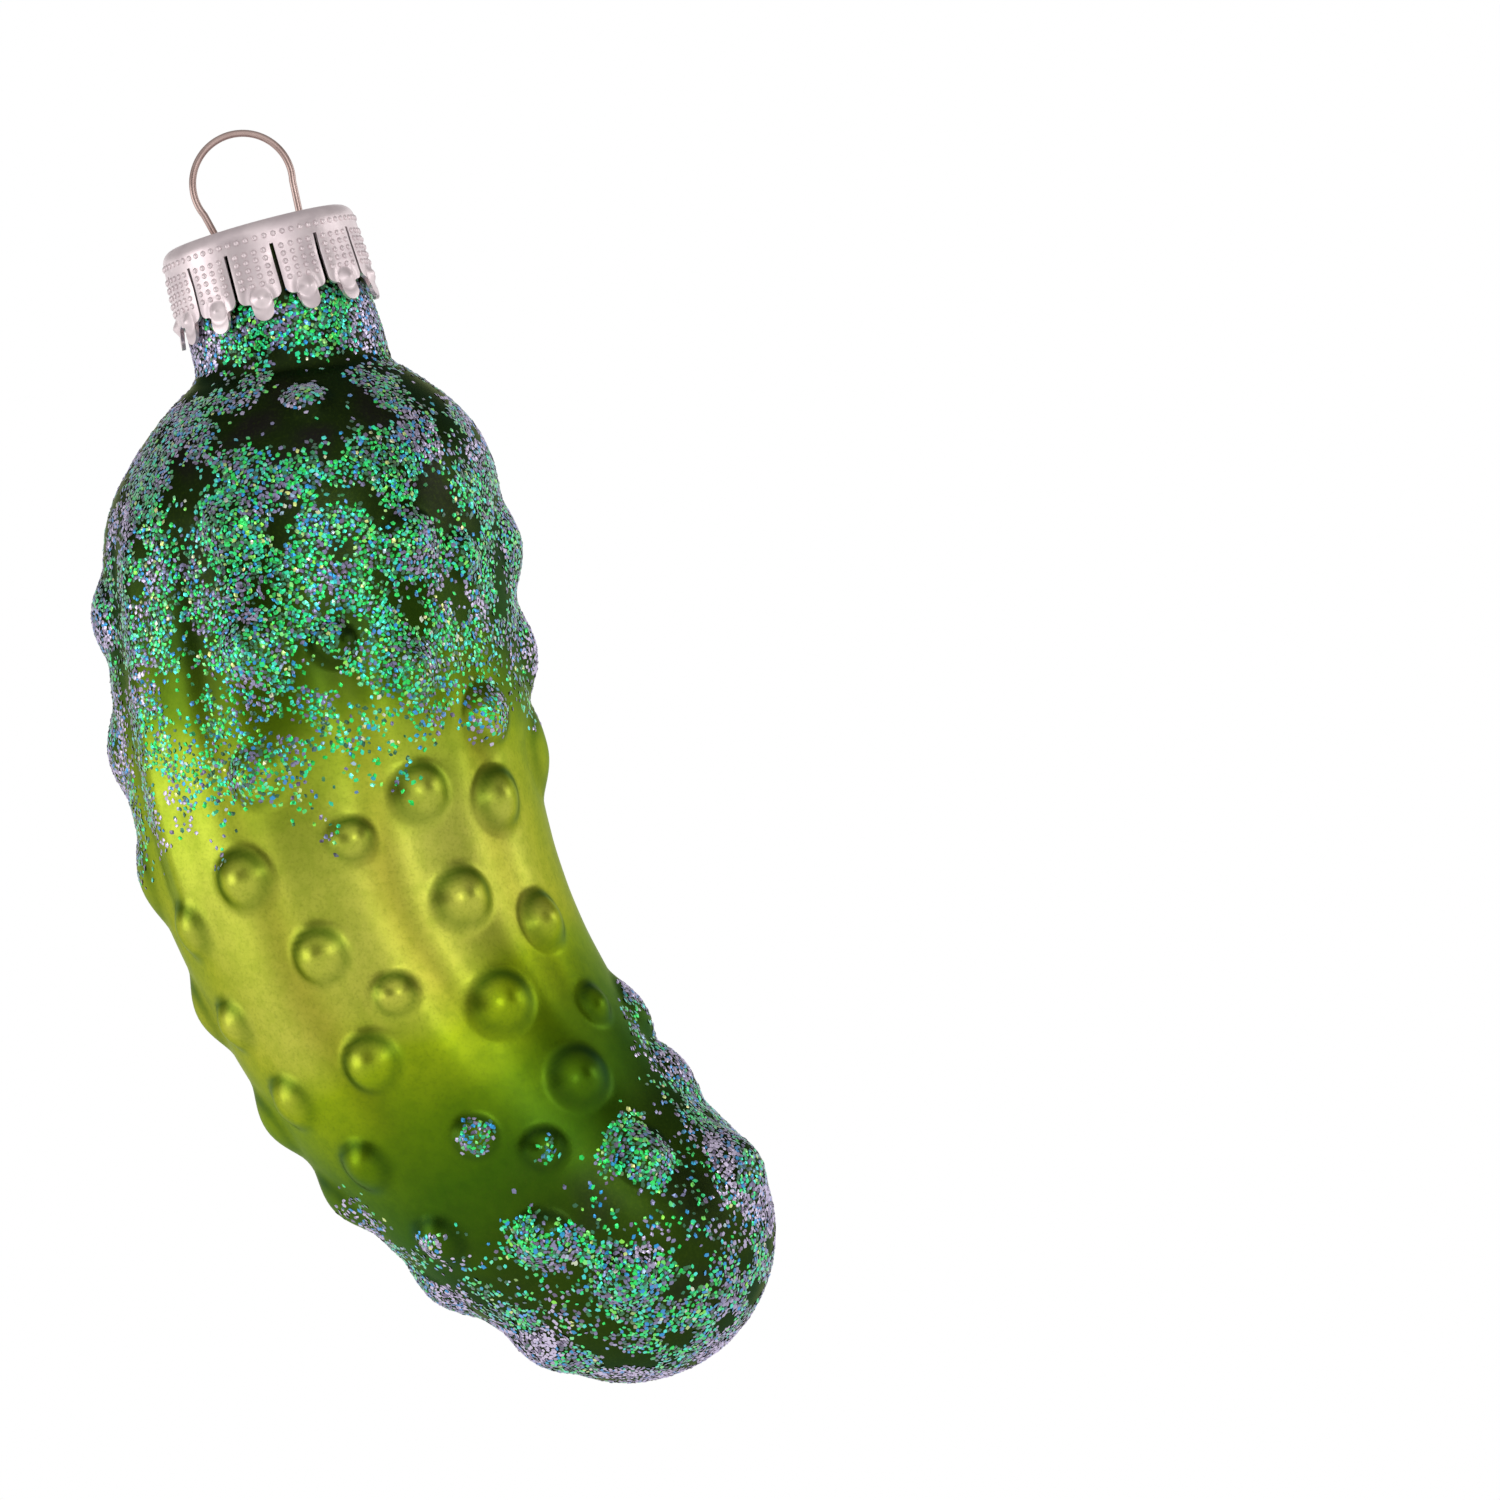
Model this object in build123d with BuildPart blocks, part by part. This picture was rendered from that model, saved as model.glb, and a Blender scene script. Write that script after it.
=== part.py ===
from build123d import *
from math import atan2, cos, degrees, pi, radians, sin, tan
import os

# A blown glass pickle ornament: a warted glass shell, a slit crown cap and a spring hanger wire.
# +Z runs up the neck, the body bends in the XZ plane with its lower end towards +X, and the origin
# is the inside top of the hanger's loop, where a hook carries it. Sizes are in mm and degrees.

# Hanger wire
WIRE_DIAMETER = 0.55
WIRE_SIDES = 8
LOOP_INNER_DIAMETER = 7.1
LOOP_CLOSING = 12.5  # how far each side of the loop turns in before it runs straight to the cap
LOOP_STEM = 2.95  # straight run from the loop to the middle of the cap's top plate
LEG_BEND_DEPTH = 1.2  # below the top plate, where a leg turns outwards
LEG_BEND_RADIUS = 1.6
KNEE_DEPTH = 9.2  # below the top plate, where a leg comes nearest to the bore of the neck
KNEE_RADIUS = 2.0
KNEE_CLEARANCE = 0.45  # from the knee to the bore, so that the wire can rock
TIP_DEPTH = 13.2
TIP_INSET = 0.9  # how far the tips turn back in from the knees

# Crown cap
CAP_SHEET = 0.3
CAP_TOP_DIAMETER = 15.0
CAP_HEIGHT = 7.6
CAP_EDGE = 0.6  # bevel between the top plate and the skirt
SKIRT_FLARE = 3.0
TAB_COUNT = 13
SLIT_WIDTH = 0.35
SLIT_TOP = 2.0  # below the cap's top face
SLIT_ANGLE = -82.3  # of the slit nearest the front, about Z from +X
TAB_LENGTH = 6.1  # from the cap's top face to the shoulders of a tab
TONGUE_WIDTH = 1.6
TAB_CORNER = 0.55  # share of a tab's shoulder that is cut off at its corner and at the tongue's
LEG_HOLE_WIDTH = 1.0
LEG_HOLE_LENGTH = 2.0
LEG_HOLE_ROOM = 0.3  # between a leg and the outer end of its hole
VENT_COUNT = 4
VENT_RADIUS = 4.9
VENT_LENGTH = 1.2
VENT_WIDTH = 0.5

# Glass shell
NECK_CLEARANCE = 0.3  # from the neck to the inside of the cap
NECK_STRAIGHT = 9.2
GLASS_WALL = 0.85
RIM_CHAMFER = 0.3
SPINE_DEPTH = 8.6  # below the rim, where the spine of the body starts
SPINE_OFFSET = -0.8  # of that start beside the axis of the neck
BODY_LEAN = 8.0  # of the straight part of the spine, towards -X
BODY_STRAIGHT = 30.0
BEND_RADIUS = 56.0
BEND_ANGLE = 47.0
SHOULDER_RINGS = (  # station along the spine, radius, shift of the middle from the spine towards +X
    (2.4, 7.6, 0.95), (3.3, 8.7, 1.0), (4.6, 10.2, 1.0), (6.2, 11.8, 1.0), (8.2, 13.3, 0.9), (10.4, 14.5, 0.6),
    (13.0, 15.2, 0.3), (18.0, 15.6, 0.1),
)
BEND_RADII = (15.8, 15.5, 15.2, 14.8, 14.4, 14.0, 13.6, 13.1, 12.6, 12.0)  # at equal steps along the bend
END_RADIUS = 11.3
END_TURNS = (9, 26, 43, 60, 75)  # of the rings of the round end
BODY_SIDES = 32
HOLLOW_SIDES = 16

# Warts: a station along the spine and an angle about it, from the front towards +X
LARGE_WART = (4.5, 1.15)  # width, height
SMALL_WART = (3.4, 0.85)
WART_SIDES = 8
WART_PROFILE = ((1.2, -0.5), (0.8, 0.62), (0.36, 1.0))  # shares of half the width and of the height
LARGE_FRONT_WARTS = (
    (14.2, -19), (16.8, 33), (23.7, -16), (26.6, 28), (33.1, -20), (36.8, 25), (39.3, -33), (46.1, -19),
    (46.6, 28), (54.5, -22), (55.9, 24), (64.7, 31), (66.4, -49), (71.4, -20), (73.6, 28), (78.2, -14),
)
SMALL_FRONT_WARTS = (
    (5.4, 6), (18.3, 52), (24.0, 7), (30.7, 53), (39.1, 2), (39.2, 52), (41.4, -62), (47.5, -64), (51.1, -4),
    (51.4, 55), (53.5, -59), (59.8, -49), (60.7, 57), (62.9, -10), (67.1, 4),
)
LARGE_SIDE_WARTS = (
    (19, -88), (29.5, -92), (38, -90), (46, -93), (54, -90), (60.5, -88), (68.5, -92), (77, -90),
    (17.5, 88), (26, 92), (35, 89), (63, 92), (72, 86), (80, 64),
)
BACK_WART_SHIFT = 4.0  # along the spine, of the warts that the front ones are repeated by at the back

# Levels and radii that follow from the sizes above
wire_radius = WIRE_DIAMETER / 2
loop_radius = LOOP_INNER_DIAMETER / 2 + wire_radius
loop_centre = -LOOP_INNER_DIAMETER / 2
stem_top = (loop_radius * cos(radians(LOOP_CLOSING)), loop_centre - loop_radius * sin(radians(LOOP_CLOSING)))
leg_at_plate = stem_top[0] - LOOP_STEM * sin(radians(LOOP_CLOSING))
plate_level = stem_top[1] - LOOP_STEM * cos(radians(LOOP_CLOSING))
cap_top = plate_level + CAP_SHEET / 2
rim_level = plate_level - CAP_SHEET / 2
cap_radius = CAP_TOP_DIAMETER / 2
neck_radius = cap_radius - CAP_SHEET - NECK_CLEARANCE
bore_radius = neck_radius - GLASS_WALL

# Spine of the glass body
with BuildLine(Plane.XZ) as spine:
    straight = PolarLine((SPINE_OFFSET, rim_level - SPINE_DEPTH), BODY_STRAIGHT, -90 - BODY_LEAN)
    JernArc(straight @ 1, straight % 1, BEND_RADIUS, BEND_ANGLE)
spine_wire = spine.wire()
spine_length = spine_wire.length


def spine_plane(station, shift=0.0):
    """Plane across the body at a distance along its spine, facing down it, with X to the front."""
    on_spine = min(station, spine_length)
    down = spine_wire.tangent_at(on_spine, PositionMode.LENGTH)
    origin = spine_wire.position_at(on_spine, PositionMode.LENGTH) + down * (station - on_spine)
    across = Plane(origin=origin, x_dir=(0, -1, 0), z_dir=down)
    across.origin = origin - across.y_dir * shift
    return across


# Rings of the body's outside, from the shoulder to the tip
bend_step = BEND_RADIUS * radians(BEND_ANGLE) / len(BEND_RADII)
body_rings = list(SHOULDER_RINGS)
body_rings += [(BODY_STRAIGHT + bend_step * index, radius, 0.0) for index, radius in enumerate(BEND_RADII)]
for turn in END_TURNS:
    body_rings.append((spine_length + END_RADIUS * sin(radians(turn)), END_RADIUS * cos(radians(turn)), 0.0))


def wall_in(rings):
    """The rings of the inside: each ring but the first and last moved in by the wall, square to the profile."""
    moved = []
    for before, ring, after in zip(rings, rings[1:], rings[2:]):
        along = after[0] - before[0]
        out = after[1] - before[1]
        slope = atan2(out, along)
        moved.append((ring[0] + GLASS_WALL * sin(slope), ring[1] - GLASS_WALL * cos(slope), ring[2]))
    return moved


neck_end = rim_level - NECK_STRAIGHT
bore_end = neck_end - 2 * GLASS_WALL

with BuildPart() as blown_form:
    for level in (rim_level, neck_end):
        with BuildSketch(Plane(origin=(0, 0, level), x_dir=(0, -1, 0), z_dir=(0, 0, -1))):
            RegularPolygon(neck_radius, BODY_SIDES)
    for station, radius, shift in body_rings:
        with BuildSketch(spine_plane(station, shift)):
            RegularPolygon(radius, BODY_SIDES)
    loft(ruled=True)

with BuildPart() as blown_hollow:
    for level in (rim_level, bore_end):
        with BuildSketch(Plane(origin=(0, 0, level), x_dir=(0, -1, 0), z_dir=(0, 0, -1))):
            RegularPolygon(bore_radius, HOLLOW_SIDES)
    for station, radius, shift in wall_in(body_rings)[::2]:
        with BuildSketch(spine_plane(station, shift)):
            RegularPolygon(radius, HOLLOW_SIDES)
    loft(ruled=True)


def wart(width, height):
    """A wart on the XY plane: from a foot sunk in below it, a steep flank and then a flat crown."""
    with BuildPart() as dome:
        reach, rise = WART_PROFILE[0]
        with BuildSketch(Plane.XY.offset(height * rise)):
            RegularPolygon(width / 2 * reach, WART_SIDES)
        top = dome.pending_faces[0]
        for next_reach, next_rise in WART_PROFILE[1:]:
            step = height * (next_rise - rise)
            slope = degrees(atan2(width / 2 * (reach - next_reach), step))
            extrude(top, amount=step, taper=slope)
            top = dome.faces().sort_by(Axis.Z)[-1]
            reach, rise = next_reach, next_rise
    return dome.part


def skin_planes(places):
    """Planes that lie on the skin of the body at the given places and face outwards."""
    skin = blown_form.part.shell()
    planes = []
    for station, angle in places:
        across = spine_plane(station)
        outwards = across.x_dir * cos(radians(angle)) - across.y_dir * sin(radians(angle))
        foot, normal = skin.find_intersection_points(Axis(across.origin, outwards))[-1]
        planes.append(Plane(origin=foot, z_dir=normal))
    return planes


def at_back(places):
    """The same pattern of warts at the back, shifted along the spine to break the symmetry."""
    return tuple((station + BACK_WART_SHIFT, 180 - angle) for station, angle in places)


large_wart = wart(*LARGE_WART)
small_wart = wart(*SMALL_WART)
large_places = skin_planes(LARGE_FRONT_WARTS + LARGE_SIDE_WARTS + at_back(LARGE_FRONT_WARTS))
small_places = skin_planes(SMALL_FRONT_WARTS + at_back(SMALL_FRONT_WARTS))

with BuildPart() as glass_shell:
    add(blown_form.part)
    with Locations(*large_places):
        add(large_wart)
    with Locations(*small_places):
        add(small_wart)
    add(blown_hollow.part, mode=Mode.SUBTRACT)
    rim = glass_shell.faces().sort_by(Axis.Z)[-1]
    chamfer(rim.edges(), RIM_CHAMFER)

# Crown cap: a drawn cup of sheet metal, slit into tabs with tongues
skirt_radius = cap_radius + CAP_HEIGHT * tan(radians(SKIRT_FLARE))
edge_mitre = CAP_SHEET * tan(radians(22.5))
tab_pitch = 2 * skirt_radius * sin(pi / TAB_COUNT)
tab_shoulder = cap_top - TAB_LENGTH
tongue_length = CAP_HEIGHT - TAB_LENGTH
slit_length = TAB_LENGTH - SLIT_TOP + tongue_length / 2

with BuildPart() as tab_gap:
    with BuildSketch(Plane.YZ.offset(bore_radius)) as gap_outline:
        with Locations((0, tab_shoulder - tongue_length)):
            Rectangle(tab_pitch, 2 * tongue_length)
        with Locations((-tab_pitch / 2, tab_shoulder), (tab_pitch / 2, tab_shoulder)):
            Rectangle(TONGUE_WIDTH, 2 * tongue_length, mode=Mode.SUBTRACT)
        with Locations((0, cap_top - SLIT_TOP - slit_length / 2)):
            Rectangle(SLIT_WIDTH, slit_length)
        levels = gap_outline.vertices().group_by(Axis.Y)
        tongue_corners = levels[1].sort_by(Axis.X)[1:-1]
        tab_corners = levels[2].sort_by(Axis.X)[1:-1]
        shoulder_width = (tab_pitch - TONGUE_WIDTH - SLIT_WIDTH) / 2
        chamfer(tongue_corners + tab_corners, shoulder_width * TAB_CORNER)
    extrude(amount=2 * (skirt_radius - bore_radius))

with BuildPart() as crown_cap:
    with BuildSketch(Plane.XZ):
        with BuildLine():
            Polyline(
                (0, cap_top),
                (cap_radius - CAP_EDGE, cap_top),
                (cap_radius, cap_top - CAP_EDGE),
                (skirt_radius, cap_top - CAP_HEIGHT),
                (skirt_radius - CAP_SHEET, cap_top - CAP_HEIGHT),
                (cap_radius - CAP_SHEET, cap_top - CAP_EDGE - edge_mitre),
                (cap_radius - CAP_EDGE - edge_mitre, rim_level),
                (0, rim_level),
                close=True,
            )
        make_face()
    revolve(axis=Axis.Z)
    with PolarLocations(0, TAB_COUNT, start_angle=SLIT_ANGLE):
        add(tab_gap.part, mode=Mode.SUBTRACT)
    with BuildSketch(Plane.XY.offset(cap_top)):
        hole_end = leg_at_plate + wire_radius + LEG_HOLE_ROOM
        with PolarLocations(hole_end - LEG_HOLE_LENGTH / 2, 2):
            Rectangle(LEG_HOLE_LENGTH, LEG_HOLE_WIDTH)
        with PolarLocations(VENT_RADIUS, VENT_COUNT, start_angle=180 / VENT_COUNT):
            Rectangle(VENT_WIDTH, VENT_LENGTH)
    extrude(amount=-2 * CAP_SHEET, mode=Mode.SUBTRACT)

# Hanger wire: the loop, then on each side a stem, a bend outwards, a knee and a tip
leg_bend = (
    leg_at_plate - LEG_BEND_DEPTH * sin(radians(LOOP_CLOSING)),
    plate_level - LEG_BEND_DEPTH * cos(radians(LOOP_CLOSING)),
)
knee = (bore_radius - KNEE_CLEARANCE - wire_radius, plate_level - KNEE_DEPTH)
tip = (knee[0] - TIP_INSET, plate_level - TIP_DEPTH)

with BuildPart() as hanger_wire:
    with BuildLine(Plane.XZ) as wire_path:
        CenterArc((0, loop_centre), loop_radius, -LOOP_CLOSING, 180 + 2 * LOOP_CLOSING)
        for side in (1, -1):
            leg = [(side * across, level) for across, level in (stem_top, leg_bend, knee, tip)]
            FilletPolyline(*leg, radius=[LEG_BEND_RADIUS, KNEE_RADIUS])
    path = wire_path.wire()
    with BuildSketch(Plane(origin=path @ 0, z_dir=path % 0)):
        RegularPolygon(wire_radius, WIRE_SIDES)
    sweep(path=path)

glass_shell.part.label = "glass_shell"
crown_cap.part.label = "crown_cap"
hanger_wire.part.label = "hanger_wire"

os.makedirs("parts", exist_ok=True)
export_step(glass_shell.part, "parts/glass_shell.step")
export_step(crown_cap.part, "parts/crown_cap.step")
export_step(hanger_wire.part, "parts/hanger_wire.step")
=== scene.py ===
import math
import random

import bmesh
import bpy
import numpy as np
from mathutils import Matrix, Vector, noise


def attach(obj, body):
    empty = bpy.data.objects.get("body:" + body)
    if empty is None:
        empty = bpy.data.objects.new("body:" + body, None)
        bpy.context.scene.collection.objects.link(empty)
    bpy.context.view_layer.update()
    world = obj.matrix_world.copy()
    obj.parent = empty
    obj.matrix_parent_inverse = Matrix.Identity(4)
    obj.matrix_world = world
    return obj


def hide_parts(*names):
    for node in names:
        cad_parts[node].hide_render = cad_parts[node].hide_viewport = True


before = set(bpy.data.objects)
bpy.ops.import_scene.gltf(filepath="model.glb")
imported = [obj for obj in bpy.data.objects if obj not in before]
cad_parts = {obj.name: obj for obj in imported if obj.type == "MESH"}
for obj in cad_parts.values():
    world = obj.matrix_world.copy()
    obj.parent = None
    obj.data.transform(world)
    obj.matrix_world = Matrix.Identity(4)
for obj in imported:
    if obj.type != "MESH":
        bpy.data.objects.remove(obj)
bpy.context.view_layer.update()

# A blown glass pickle ornament, dressed: lacquered and glittered glass, a stamped crown cap and a
# spring hanger wire. Sizes are in mm and degrees, in the frame of the part, until MM turns them to metres.
MM = 0.001

# Hanger wire
WIRE_DIAMETER = 0.55
LOOP_INNER_DIAMETER = 7.1
LOOP_CLOSING = 12.5
LEFT_CLOSING = 25.0  # the left side of the loop is bent in farther
LOOP_STEM = 2.95
LEG_BEND_DEPTH = 1.2
LEG_BEND_RADIUS = 1.6
KNEE_DEPTH = 9.2
KNEE_RADIUS = 2.0
KNEE_CLEARANCE = 0.45
TIP_DEPTH = 13.2
TIP_INSET = 0.9
WIRE_SIDES = 16
LOOP_STEPS = 64
CORNER_STEPS = 10

# Crown cap
CAP_SHEET = 0.3
CAP_RADIUS = 7.5
CAP_HEIGHT = 7.6
CAP_EDGE = 1.1
SKIRT_FLARE = 3.0
TAB_COUNT = 13
SLIT_WIDTH = 0.3
SLIT_TOP = 2.0
SLIT_ANGLE = -82.3
TAB_LENGTH = 6.1
TONGUE_HALF = 0.78
LEG_HOLE_WIDTH = 1.0
LEG_HOLE_LENGTH = 2.0
LEG_HOLE_ROOM = 0.3
VENT_COUNT = 4
VENT_RADIUS = 4.9
VENT_LENGTH = 1.2
VENT_WIDTH = 0.5
TONGUE_FILLET = 0.26
TAB_CORNER = 0.62
TAB_PLACES = (0.0, 0.2, 0.38, 0.52, 0.63, 0.71, 0.755, 0.778, 0.80, 0.85, 0.93, 1.05)  # columns, from a tab's middle
TAB_SHARES = (0.70, 0.78, 0.86, 0.92, 0.96, 0.985, 1.0)  # columns near a tab's sides, as shares of its half width
TAB_SEED = 21
TAB_TILTS = (-0.016, 0.02)  # least and most lean outwards, per mm below the top of the slits
TAB_YAWS = (-0.07, 0.07)
TAB_BOW = 0.1  # how far a tab's sides curl in
LOOSE_RUN = 1.5  # below the top of the slits, where a tab is free of its neighbours
BOSS_RAISE = 0.25  # of the pressed boss above the shoulders of a tab
BOSS_HEIGHT = 0.34
BOSS_SPREAD = 0.42
BOSS_DIP = 0.1  # of the ring pressed in round the boss
BOSS_DIP_PLACE = 0.85
BOSS_DIP_SPREAD = 0.25
EDGE_STEPS, BAND_STEPS, TAB_STEPS = 7, 6, 26
SLOT_STEPS = 8
SHARP_ANGLE = 42.0
DOT_RADIUS = 0.23
TAB_DOT_START = 2.35  # below the cap's top
TAB_DOT_STEP = 0.62
EDGE_DOT_LEVEL = 1.3  # below the cap's top

# Glass shell
NECK_RADIUS = 6.9
GLASS_WALL = 0.85
SPINE_DEPTH = 8.6
SPINE_OFFSET = -0.8
BODY_LEAN = 8.0
BODY_STRAIGHT = 30.0
BEND_RADIUS = 56.0
BEND_ANGLE = 47.0
NECK_RINGS = ((0.3, 6.9), (3.0, 6.9), (5.5, 6.97), (7.2, 7.2), (9.2, 7.32))  # depth below the rim, radius
SHOULDER_RINGS = (  # station along the spine, radius, shift of the middle from the spine towards +X
    (2.4, 7.7, 0.95), (3.3, 8.75, 1.0), (4.6, 10.25, 1.0), (6.2, 11.85, 1.0), (8.2, 13.35, 0.9), (10.4, 14.5, 0.6),
    (13.0, 15.2, 0.3), (18.0, 15.6, 0.1),
)
BEND_RADII = (15.8, 15.5, 15.2, 14.8, 14.4, 14.0, 13.6, 13.1, 12.6, 12.0)
END_RADIUS = 11.3
END_TURNS = (9, 18, 27, 36, 45, 54, 63, 72, 81, 90)

# Warts: station along the spine and angle about it, from the front towards +X
LARGE_WART = (4.7, 1.15)  # width, height
SMALL_WART = (3.5, 0.85)
SIDE_WART = (6.4, 1.0)
LARGE_FRONT_WARTS = (
    (14.2, -19), (16.8, 33), (23.7, -16), (26.6, 28), (33.1, -20), (36.8, 25), (39.3, -33), (46.1, -19),
    (46.6, 28), (54.5, -22), (55.9, 24), (64.7, 31), (66.4, -49), (71.4, -20), (73.6, 28), (78.2, -14),
    (41.4, -62), (47.5, -64), (53.5, -59), (59.8, -49), (30.7, 53), (39.2, 52), (51.4, 55),
)
SMALL_FRONT_WARTS = (
    (5.4, 6), (18.3, 52), (24.0, 7), (39.1, 2), (51.1, -4), (60.7, 57), (62.9, -10), (67.1, 4),
)
LARGE_SIDE_WARTS = (
    (19, -88), (29.5, -92), (37.5, -90), (46, -93), (54, -90), (60.5, -88), (68.5, -92), (76, -75),
    (17.5, 88), (26, 92), (35, 89), (63.5, 92), (70.5, 86), (80, 64),
)
BACK_WART_SHIFT = 4.0
WART_SEED = 7
WIDTH_SPREAD = (0.94, 1.06)
HEIGHT_SPREAD = (0.92, 1.08)
WART_FOOT = 1.2  # reach of a wart's soft foot, as a share of its half width
WART_BLUNTNESS = 1.6
POOL_PLACE = 0.73  # a ring round a wart is darkened here: partly lacquer gathered there, partly painted shade, most on its upper side where the dark above is mirrored
POOL_WIDTH = 0.2
CLUMP_START = 62.0  # station past which warts hold a clump of glitter
FULL_CLUMP_START = 68.0  # before this station the clumps are small
BARE_WARTS = ((64.7, 31),)

# Flutes between the warts
FLUTE_COUNT = 9
FLUTE_ANGLE = 10.0
FLUTE_SPREAD = 7.0
FLUTE_DEPTH = 0.42
FLUTE_WANDER = 7.0

# Glass mesh
BODY_COLUMNS = 256
BODY_ROWS = 280
HOLLOW_ROW_STEP = 7

# Glitter
FLAKE_RADIUS = 0.21
FLAKE_THICKNESS = 0.035
FLAKE_SPACING = 0.21
FLAKE_DENSITY = 30e6  # flakes to a square metre, at most
FLAKE_TILT = 0.32
FLAKE_SIZES = (0.75, 1.25)
FLAKE_SEED = 10
UPPER_START = 13.0  # station where the upper glitter takes over from the neck's
UPPER_EDGE = 35.5  # station of the upper glitter's lower edge, and its rise on the side towards +X
UPPER_EDGE_RISE = 7.0

# Share of lavender flakes: all over, in patches, on the flanks, round warts, under the neck, by the tip and on it;
# the shares on the flanks and round warts are painted sheen, the lavender that glitter shows at a slant
HAZE_LEAST = 0.06
HAZE_PATCH = 0.3
HAZE_FLANK = 0.4
HAZE_POOL = 0.22
HAZE_SHOULDER = 0.15
HAZE_LOWER = 0.14
HAZE_TIP = 0.3
HAZE_MOST = 0.92

# Levels that follow from the sizes
wire_radius = WIRE_DIAMETER / 2
loop_radius = LOOP_INNER_DIAMETER / 2 + wire_radius
loop_centre = -LOOP_INNER_DIAMETER / 2
closing = math.radians(LOOP_CLOSING)
stem_top = (loop_radius * math.cos(closing), loop_centre - loop_radius * math.sin(closing))
leg_at_plate = stem_top[0] - LOOP_STEM * math.sin(closing)
plate_level = stem_top[1] - LOOP_STEM * math.cos(closing)
cap_top = plate_level + CAP_SHEET / 2
rim_level = plate_level - CAP_SHEET / 2
bore_radius = NECK_RADIUS - GLASS_WALL
bend_length = BEND_RADIUS * math.radians(BEND_ANGLE)
spine_length = BODY_STRAIGHT + bend_length


class Value:
    """A socket of a node tree. Sums on it add Math nodes."""

    def __init__(self, board, socket):
        self.board = board
        self.socket = socket

    def math(self, operation, *others):
        terms = dict(enumerate((self, *others)))
        return self.board.add("ShaderNodeMath", {"operation": operation}, terms)[0]

    def __add__(self, other):
        return self.math("ADD", other)

    __radd__ = __add__

    def __mul__(self, other):
        return self.math("MULTIPLY", other)

    __rmul__ = __mul__

    def __sub__(self, other):
        return self.math("SUBTRACT", other)

    def __rsub__(self, other):
        return self.board.add("ShaderNodeMath", {"operation": "SUBTRACT"}, {0: other, 1: self})[0]

    def __truediv__(self, other):
        return self.math("DIVIDE", other)

    def __rtruediv__(self, other):
        return self.board.add("ShaderNodeMath", {"operation": "DIVIDE"}, {0: other, 1: self})[0]

    def rise(self, low, high):
        """0 below low, 1 above high and a smooth rise between."""
        ends = {"Value": self, "From Min": low, "From Max": high}
        return self.board.add("ShaderNodeMapRange", {"interpolation_type": "SMOOTHSTEP"}, ends)[0]


class Made:
    """A node that has been added: made["name"] is one of its outputs."""

    def __init__(self, board, node):
        self.board = board
        self.node = node

    def __getitem__(self, key):
        return Value(self.board, self.node.outputs[key])


class Board:
    """A node tree that is being wired up."""

    def __init__(self, tree):
        self.tree = tree

    def add(self, kind, settings=None, sockets=None):
        """One node, from its type, its settings and the values or links of its sockets."""
        node = self.tree.nodes.new(kind)
        for name, setting in (settings or {}).items():
            if name == "stops":
                while len(node.color_ramp.elements) < len(setting):
                    node.color_ramp.elements.new(1.0)
                for stop, (place, colour) in zip(node.color_ramp.elements, setting):
                    stop.position = place
                    stop.color = colour
            else:
                setattr(node, name, setting)
        for key, value in (sockets or {}).items():
            if isinstance(value, Value):
                self.tree.links.new(value.socket, node.inputs[key])
            else:
                node.inputs[key].default_value = value
        return Made(self, node)

    def mix(self, share, first, second, blend="MIX"):
        """A colour between two colours."""
        settings = {"data_type": "RGBA", "blend_type": blend}
        return self.add("ShaderNodeMix", settings, {0: share, 6: first, 7: second})[2]

    def cloud(self, place, scale, detail=2.0, roughness=0.5):
        """Noise from 0 to 1 at a place."""
        sockets = {"Vector": place, "Scale": scale, "Detail": detail, "Roughness": roughness}
        return self.add("ShaderNodeTexNoise", {}, sockets)[0]

    def field(self, name):
        """An attribute of the mesh."""
        return self.add("ShaderNodeAttribute", {"attribute_name": name})["Fac"]

    def vector(self, operation, *terms):
        """Vector Math on vectors."""
        return self.add("ShaderNodeVectorMath", {"operation": operation}, dict(enumerate(terms)))[0]


def tone(red, green, blue):
    """A colour given as it looks on a screen, from 0 to 255, as the linear values of a shader."""

    def linear(level):
        level = level / 255
        return level / 12.92 if level <= 0.04045 else ((level + 0.055) / 1.055) ** 2.4

    return (linear(red), linear(green), linear(blue), 1.0)


def new_finish(name):
    """An empty material and the board of its tree."""
    material = bpy.data.materials.new(name)
    material.use_nodes = True
    material.node_tree.nodes.clear()
    return material, Board(material.node_tree)


def surface(board, shader):
    """Hands a shader to the material's output."""
    board.add("ShaderNodeOutputMaterial", {}, {"Surface": shader})


# Materials


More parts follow.
